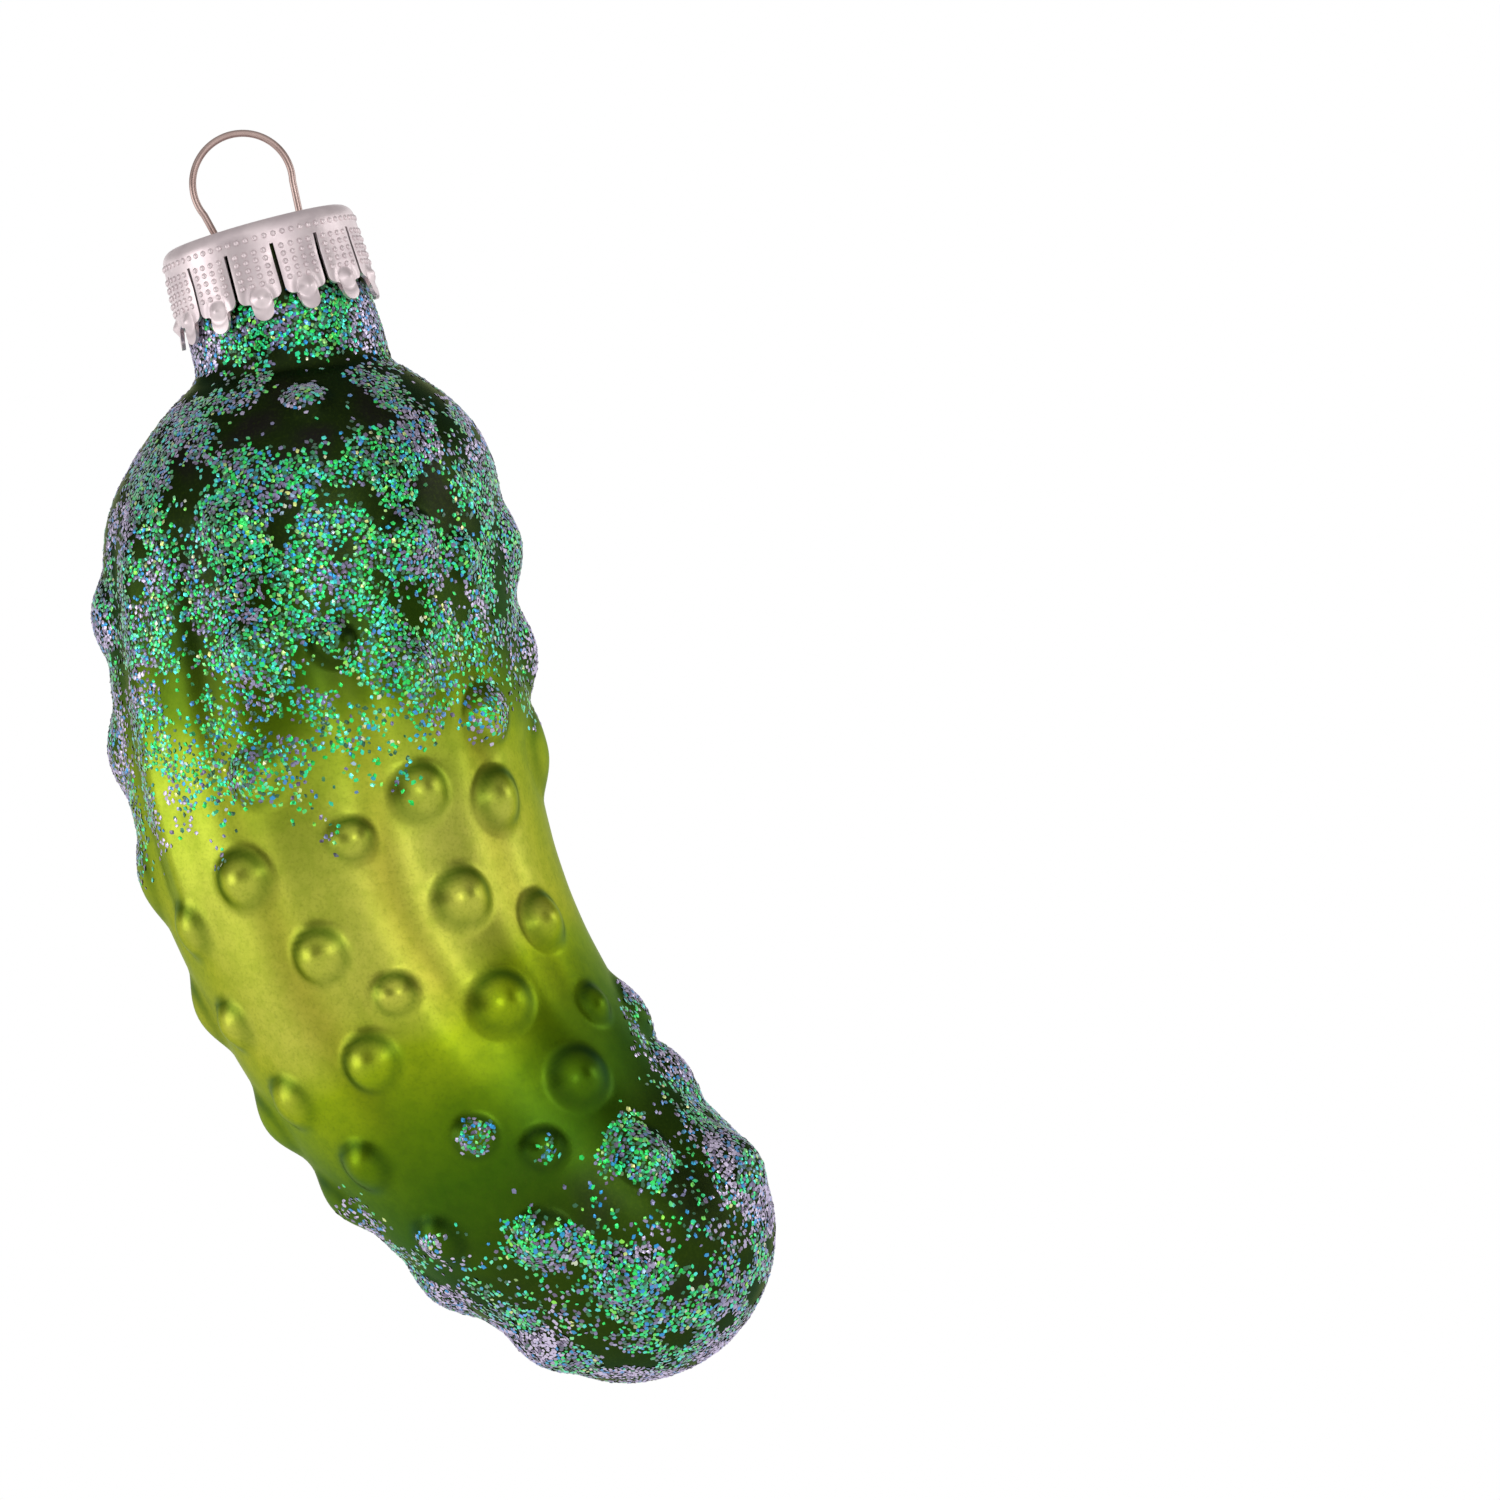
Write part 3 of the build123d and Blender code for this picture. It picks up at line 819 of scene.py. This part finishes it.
def dot_tree():
    """Dots pressed out of a sheet: low domes in rows and columns on each tab, where lines inwards meet it."""
    board, given = new_tree("pressed_dots", (
        ("Tabs", "NodeSocketInt"), ("Columns", "NodeSocketInt"), ("Rows", "NodeSocketInt"),
        ("First Angle", "NodeSocketFloat"), ("Column Start", "NodeSocketFloat"),
        ("Column Step", "NodeSocketFloat"),
        ("First Level", "NodeSocketFloat"), ("Level Step", "NodeSocketFloat"), ("Reach", "NodeSocketFloat"),
        ("Dot Radius", "NodeSocketFloat"),
    ))
    count = given["Tabs"] * given["Columns"] * given["Rows"]
    line = board.add("GeometryNodeMeshLine", {}, {"Count": count})["Mesh"]
    index = board.add("GeometryNodeInputIndex")["Index"]
    row = index.math("MODULO", given["Rows"])
    column_index = (index / given["Rows"]).math("FLOOR")
    column = column_index.math("MODULO", given["Columns"])
    tab = (column_index / given["Columns"]).math("FLOOR")
    pitch = 2 * math.pi / given["Tabs"]
    angle = given["First Angle"] + (tab + given["Column Start"] + column * given["Column Step"]) * pitch
    level = given["First Level"] - row * given["Level Step"]
    out_x, out_y = angle.math("COSINE"), angle.math("SINE")
    start = board.add("ShaderNodeCombineXYZ", {}, {
        "X": given["Reach"] * out_x, "Y": given["Reach"] * out_y, "Z": level,
    })["Vector"]
    inwards = board.add("ShaderNodeCombineXYZ", {}, {"X": out_x * -1, "Y": out_y * -1})["Vector"]
    meet = board.add("GeometryNodeRaycast", {}, {
        "Target Geometry": given["Geometry"], "Source Position": start, "Ray Direction": inwards,
        "Ray Length": given["Reach"] * 0.5,
    })
    placed = board.add("GeometryNodeSetPosition", {}, {
        "Geometry": line, "Position": meet["Hit Position"],
    })["Geometry"]
    turn = board.add("FunctionNodeAlignRotationToVector", {"axis": "Z"}, {
        "Vector": meet["Hit Normal"],
    })["Rotation"]
    dome = board.add("GeometryNodeMeshUVSphere", {}, {
        "Segments": 8, "Rings": 6, "Radius": given["Dot Radius"],
    })["Mesh"]
    low_dome = board.add("GeometryNodeTransform", {}, {"Geometry": dome, "Scale": (1.0, 1.0, 0.6)})["Geometry"]
    dots = board.add("GeometryNodeInstanceOnPoints", {}, {
        "Points": placed, "Selection": meet["Is Hit"], "Instance": low_dome, "Rotation": turn,
    })["Instances"]
    close_tree(board, dots, cap_metal)
    return board


# Hanger wire


def round_corner(before, corner, after, radius):
    """Points of the arc that rounds a corner of a path."""
    into = (corner - before).normalized()
    out = (after - corner).normalized()
    half_turn = into.angle(out) / 2
    run = radius * math.tan(half_turn)
    start, end = corner - into * run, corner + out * run
    middle = corner + (out - into).normalized() * (radius / math.cos(half_turn))
    first, last = start - middle, end - middle
    return [middle + first.slerp(last, step / CORNER_STEPS) for step in range(CORNER_STEPS + 1)]


def make_wire():
    """The hanger: a loop whose two ends run through the cap and spring against the neck."""
    knee = (bore_radius - KNEE_CLEARANCE - wire_radius, plate_level - KNEE_DEPTH)
    bend = (leg_at_plate - LEG_BEND_DEPTH * math.sin(closing), plate_level - LEG_BEND_DEPTH * math.cos(closing))
    tip = (knee[0] - TIP_INSET, plate_level - TIP_DEPTH)
    top, bend, knee, tip = (Vector((across, 0.0, level)) for across, level in (stem_top, bend, knee, tip))
    left_closing = math.radians(LEFT_CLOSING)
    left_side, left_drop = math.cos(left_closing), math.sin(left_closing)
    left_top = Vector((-loop_radius * left_side, 0.0, loop_centre - loop_radius * left_drop))
    left_knee, left_tip = (Vector((-point.x, 0.0, point.z)) for point in (knee, tip))
    left_bend = left_top + Vector((left_drop, 0.0, -left_side)) * ((left_top.z - bend.z) / left_side)

    def leg(start, first, second, end):
        """Points of a leg: its start, two rounded corners and its end."""
        bends = round_corner(start, first, second, LEG_BEND_RADIUS) + round_corner(first, second, end, KNEE_RADIUS)
        return [start, *bends, end]

    right_leg = leg(top, bend, knee, tip)
    left_leg = leg(left_top, left_bend, left_knee, left_tip)
    loop = []
    for step in range(1, LOOP_STEPS):
        turn = -closing + (math.pi + closing + left_closing) * step / LOOP_STEPS
        loop.append(Vector((loop_radius * math.cos(turn), 0.0, loop_centre + loop_radius * math.sin(turn))))
    path = [*reversed(right_leg), *loop, *left_leg]
    mesh = bpy.data.meshes.new("wire_path")
    mesh.from_pydata([point * MM for point in path], [(at, at + 1) for at in range(len(path) - 1)], [])
    carrier = put("wire_path", mesh)
    wire = run_tree("hanger_loop", carrier, wire_tree(), {"Radius": wire_radius * MM, "Sides": WIRE_SIDES})
    bpy.data.objects.remove(carrier)
    return wire


# Crown cap


def tab_edge(across):
    """Depth of a tab's lower edge at a distance from its middle: a round tongue and rounded shoulders."""
    across = abs(across)
    corner_start = tab_half() - TAB_CORNER
    if across < TONGUE_HALF:
        return CAP_HEIGHT - (TONGUE_HALF - math.sqrt(TONGUE_HALF**2 - across**2))
    if across < TONGUE_HALF + TONGUE_FILLET:
        part = (across - TONGUE_HALF) / TONGUE_FILLET
        return TAB_LENGTH + TONGUE_FILLET * (1 - math.sqrt(1 - (1 - part) ** 2))
    if across > corner_start:
        part = min((across - corner_start) / TAB_CORNER, 1.0)
        return TAB_LENGTH - TAB_CORNER * (1 - math.sqrt(1 - part**2))
    return TAB_LENGTH


def tab_half():
    """Half of a tab's width, between two slits."""
    pitch = 2 * math.pi * (CAP_RADIUS + TAB_LENGTH * 0.7 * math.tan(math.radians(SKIRT_FLARE))) / TAB_COUNT
    return (pitch - SLIT_WIDTH) / 2


def make_cap():
    """The cap's sheet: a plate with holes, a rounded edge, and a skirt slit into tabs with tongues."""
    draw = random.Random(TAB_SEED)
    half = tab_half()
    one_side = [place for place in TAB_PLACES if place < half * 0.66] + [share * half for share in TAB_SHARES]
    across = [-place for place in reversed(one_side[1:])] + one_side
    flare = math.tan(math.radians(SKIRT_FLARE))
    pitch = 2 * math.pi / TAB_COUNT
    tilts = [draw.uniform(*TAB_TILTS) for tab in range(TAB_COUNT)]
    yaws = [draw.uniform(*TAB_YAWS) for tab in range(TAB_COUNT)]
    sheet = bmesh.new()

    def skirt_angle(tab, place):
        middle = math.radians(SLIT_ANGLE) + (tab + 0.5) * pitch
        return middle + place / half * (pitch - SLIT_WIDTH / CAP_RADIUS) / 2

    def round_point(angle, radius, depth):
        return Vector((radius * math.cos(angle), radius * math.sin(angle), cap_top - depth))

    def skirt_point(tab, place, depth):
        below = max(depth - SLIT_TOP, 0.0)
        loose = min(below / LOOSE_RUN, 1.0)
        radius = CAP_RADIUS + depth * flare
        radius += tilts[tab] * below + loose * (yaws[tab] * place - TAB_BOW * (place / half) ** 4)
        boss = math.hypot(place, depth - (TAB_LENGTH - BOSS_RAISE))
        dip = BOSS_DIP * math.exp(-(((boss - BOSS_DIP_PLACE) / BOSS_DIP_SPREAD) ** 2)) * loose
        radius += BOSS_HEIGHT * math.exp(-((boss / BOSS_SPREAD) ** 2)) - dip
        return round_point(skirt_angle(tab, place), radius, depth)

    def edge_point(tab, place, turn):
        radius = CAP_RADIUS - CAP_EDGE * (1 - math.sin(turn)) + CAP_EDGE * flare * math.sin(turn)
        return round_point(skirt_angle(tab, place), radius, CAP_EDGE * (1 - math.cos(turn)))

    def band_row(point, amount):
        return [sheet.verts.new(point(tab, place, amount)) for tab in range(TAB_COUNT) for place in across]

    band_rows = []
    for step in range(EDGE_STEPS + 1):
        band_rows.append(band_row(edge_point, math.pi / 2 * step / EDGE_STEPS))
    for step in range(1, BAND_STEPS + 1):
        band_rows.append(band_row(skirt_point, CAP_EDGE + (SLIT_TOP - CAP_EDGE) * step / BAND_STEPS))
    width = len(across)
    columns = TAB_COUNT * width
    for upper, lower in zip(band_rows, band_rows[1:]):
        for column in range(columns):
            beside = (column + 1) % columns
            sheet.faces.new((upper[column], lower[column], lower[beside], upper[beside]))
    for tab in range(TAB_COUNT):
        above = band_rows[-1][tab * width:(tab + 1) * width]
        for step in range(1, TAB_STEPS + 1):
            row = []
            for place in across:
                depth = SLIT_TOP + (tab_edge(place) - SLIT_TOP) * step / TAB_STEPS
                row.append(sheet.verts.new(skirt_point(tab, place, depth)))
            for column in range(width - 1):
                sheet.faces.new((above[column], row[column], row[column + 1], above[column + 1]))
            above = row

    def ring_edges(points):
        loop = [sheet.verts.new(point) for point in points]
        return [sheet.edges.new((loop[at], loop[(at + 1) % len(loop)])) for at in range(len(loop))]

    def slot(middle, turn, length, breadth):
        points = []
        for end in (0, 1):
            for step in range(SLOT_STEPS + 1):
                bow = math.pi * (end + step / SLOT_STEPS) - math.pi / 2
                at_x = (length - breadth) / 2 * (1 - 2 * end) + breadth / 2 * math.cos(bow)
                at_y = breadth / 2 * math.sin(bow)
                points.append(Vector((
                    middle[0] + at_x * math.cos(turn) - at_y * math.sin(turn),
                    middle[1] + at_x * math.sin(turn) + at_y * math.cos(turn), cap_top,
                )))
        return points

    rim = band_rows[0]
    outline = [sheet.edges.get((rim[at], rim[(at + 1) % columns])) for at in range(columns)]
    hole_middle = leg_at_plate + wire_radius + LEG_HOLE_ROOM - LEG_HOLE_LENGTH / 2
    for side in (1, -1):
        outline += ring_edges(slot((side * hole_middle, 0.0), 0.0, LEG_HOLE_LENGTH, LEG_HOLE_WIDTH))
    for vent in range(VENT_COUNT):
        turn = math.pi / VENT_COUNT + vent * 2 * math.pi / VENT_COUNT
        middle = (VENT_RADIUS * math.cos(turn), VENT_RADIUS * math.sin(turn))
        outline += ring_edges(slot(middle, turn + math.pi / 2, VENT_LENGTH, VENT_WIDTH))
    bmesh.ops.triangle_fill(sheet, use_beauty=True, use_dissolve=False, edges=outline, normal=(0.0, 0.0, 1.0))
    bmesh.ops.recalc_face_normals(sheet, faces=sheet.faces)
    top_face = max(sheet.faces, key=lambda face: face.calc_center_median().z)
    if top_face.normal.z < 0:
        bmesh.ops.reverse_faces(sheet, faces=sheet.faces)
    bmesh.ops.scale(sheet, vec=(MM, MM, MM), verts=sheet.verts)
    mesh = bpy.data.meshes.new("stamped_cap")
    sheet.to_mesh(mesh)
    sheet.free()
    cap = put("stamped_cap", mesh, cap_metal)
    wall = cap.modifiers.new("sheet", "SOLIDIFY")
    wall.thickness = CAP_SHEET * MM
    wall.offset = -1.0
    view = bpy.context.evaluated_depsgraph_get()
    view.update()
    solid = bpy.data.meshes.new_from_object(cap.evaluated_get(view))
    cap.modifiers.remove(wall)
    cap.data = solid
    solid.polygons.foreach_set("use_smooth", [True] * len(solid.polygons))
    solid.set_sharp_from_angle(angle=math.radians(SHARP_ANGLE))
    return cap


def make_dots(cap):
    """The pressed dots on the tabs and the ring of dots under the top edge."""
    tree = dot_tree()
    common = {
        "Tabs": TAB_COUNT, "First Angle": math.radians(SLIT_ANGLE), "Reach": 1.4 * CAP_RADIUS * MM,
        "Dot Radius": DOT_RADIUS * MM,
    }
    tabs = run_tree("tab_dots", cap, tree, {
        **common, "Columns": 4, "Rows": 5, "Column Start": 0.19, "Column Step": 0.207,
        "First Level": (cap_top - TAB_DOT_START) * MM, "Level Step": TAB_DOT_STEP * MM,
    })
    ring = run_tree("edge_dots", cap, tree, {
        **common, "Columns": 5, "Rows": 1, "Column Start": 0.1, "Column Step": 0.2,
        "First Level": (cap_top - EDGE_DOT_LEVEL) * MM, "Level Step": 0.0,
    })
    return tabs, ring


glass = make_glass()
flakes = glitter_tree()
glitter_pieces = []
for number, (name, density) in enumerate((
    ("neck_glitter", "glitter_neck"), ("upper_glitter", "glitter_upper"), ("tip_glitter", "glitter_tip"),
)):
    glitter_pieces.append(run_tree(name, glass, flakes, {
        "Density Name": density, "Spacing": FLAKE_SPACING * MM, "Most": FLAKE_DENSITY, "Radius": FLAKE_RADIUS * MM,
        "Thickness": FLAKE_THICKNESS * MM, "Tilt": FLAKE_TILT, "Seed": FLAKE_SEED + number,
    }))
cap = make_cap()
tab_dots, edge_dots = make_dots(cap)
wire = make_wire()

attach(glass, "glass")
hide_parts("glass_shell")
for piece in glitter_pieces:
    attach(piece, "glass")
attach(cap, "cap")
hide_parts("crown_cap")
for piece in (tab_dots, edge_dots):
    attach(piece, "cap")
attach(wire, "hanger")
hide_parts("hanger_wire")


# Stage, lamps and camera


def stage_card(name, corners, material):
    """A flat card of the studio."""
    mesh = bpy.data.meshes.new(name)
    mesh.from_pydata(corners, [], [tuple(range(len(corners)))])
    card = put(name, mesh, material)
    return card


STAGE_REACH = 3.0
FLOOR_LEVEL = -0.16
CEILING_LEVEL = 0.75
CEILING_FRONT, CEILING_BACK = -1.5, 2.0
FLAG_DISTANCE = 1.4
FLAG_TOP = 1.0


def level_card(name, front, back, level, material):
    """A level card, as wide as the studio."""
    corners = [
        (-STAGE_REACH, front, level), (STAGE_REACH, front, level), (STAGE_REACH, back, level),
        (-STAGE_REACH, back, level),
    ]
    return stage_card(name, corners, material)


def upright_flag(name, first, last):
    """A dark card on edge, between two directions in degrees from the front towards +X."""
    feet = []
    for turn in (math.radians(first), math.radians(last)):
        feet.append((FLAG_DISTANCE * math.sin(turn), -FLAG_DISTANCE * math.cos(turn)))
    corners = [(*foot, FLOOR_LEVEL) for foot in feet] + [(*foot, FLAG_TOP) for foot in reversed(feet)]
    return stage_card(name, corners, flag_black)


level_card("floor", -STAGE_REACH, STAGE_REACH, FLOOR_LEVEL, stage_white)
ceiling = level_card("ceiling_flag", CEILING_FRONT, CEILING_BACK, CEILING_LEVEL, ceiling_grey)
front = upright_flag("front_flag", -52.0, -10.0)
right_side = upright_flag("right_flag", 50.0, 80.0)
for flag in (ceiling, front, right_side):
    flag.visible_camera = False
    flag.visible_shadow = False
    flag.visible_diffuse = False

WORLD_LIGHT = 0.85  # what the world gives the object; it is seen, and mirrored, at 1
world = bpy.data.worlds.new("studio")
world.use_nodes = True
world.node_tree.nodes.clear()
sky = Board(world.node_tree)
paths = sky.add("ShaderNodeLightPath")
mirrored = paths["Is Glossy Ray"].math("MAXIMUM", paths["Is Transmission Ray"])
seen = paths["Is Camera Ray"].math("MAXIMUM", mirrored)
backdrop = sky.add("ShaderNodeBackground", {}, {
    "Color": (1.0, 1.0, 1.0, 1.0), "Strength": WORLD_LIGHT + seen * (1 - WORLD_LIGHT),
})
sky.add("ShaderNodeOutputWorld", {}, {"Surface": backdrop["Background"]})
bpy.context.scene.world = world


LAMP_AIM = Vector((0.0, 0.0, -0.05))
SOFTBOXES = (  # name, place, width, height, power in watts
    ("left_softbox", (-1.03, -0.25, 0.08), 0.6, 0.55, 1.8),
    ("right_softbox", (0.38, -1.0, 0.02), 0.25, 0.32, 0.95),
    ("far_softbox", (1.08, 0.12, 0.0), 0.36, 0.4, 0.7),
)
for name, place, width, height, power in SOFTBOXES:
    lamp = bpy.data.lights.new(name, "AREA")
    lamp.shape = "RECTANGLE"
    lamp.size, lamp.size_y, lamp.energy = width, height, power
    holder = bpy.data.objects.new(name, lamp)
    bpy.context.scene.collection.objects.link(holder)
    holder.location = place
    holder.rotation_euler = (LAMP_AIM - Vector(place)).to_track_quat("-Z", "Y").to_euler()

CAMERA_ROLL = 15.5
CAMERA_ELEVATION = -2.0
CAMERA_DISTANCE = 1.2
SENSOR_WIDTH = 36.0
FRAME_WIDTH = 114.5
FRAME_MIDDLE = Vector((25.8, 0.0, -55.7)) * MM
tilt = math.radians(CAMERA_ELEVATION)
forward = Vector((0.0, math.cos(tilt), -math.sin(tilt)))
level_right = Vector((1.0, 0.0, 0.0))
level_up = level_right.cross(forward)
roll = math.radians(CAMERA_ROLL)
right = level_right * math.cos(roll) - level_up * math.sin(roll)
up = level_right * math.sin(roll) + level_up * math.cos(roll)
lens = bpy.data.cameras.new("camera")
lens.sensor_width = SENSOR_WIDTH
lens.lens = SENSOR_WIDTH * CAMERA_DISTANCE / (FRAME_WIDTH * MM)
lens.clip_start, lens.clip_end = 0.05, 20.0
camera = bpy.data.objects.new("camera", lens)
bpy.context.scene.collection.objects.link(camera)
camera.matrix_world = Matrix((
    (right.x, up.x, -forward.x, 0.0), (right.y, up.y, -forward.y, 0.0), (right.z, up.z, -forward.z, 0.0),
    (0.0, 0.0, 0.0, 1.0),
))
camera.location = FRAME_MIDDLE - forward * CAMERA_DISTANCE
bpy.context.scene.camera = camera
bpy.context.scene.view_settings.view_transform = "Standard"
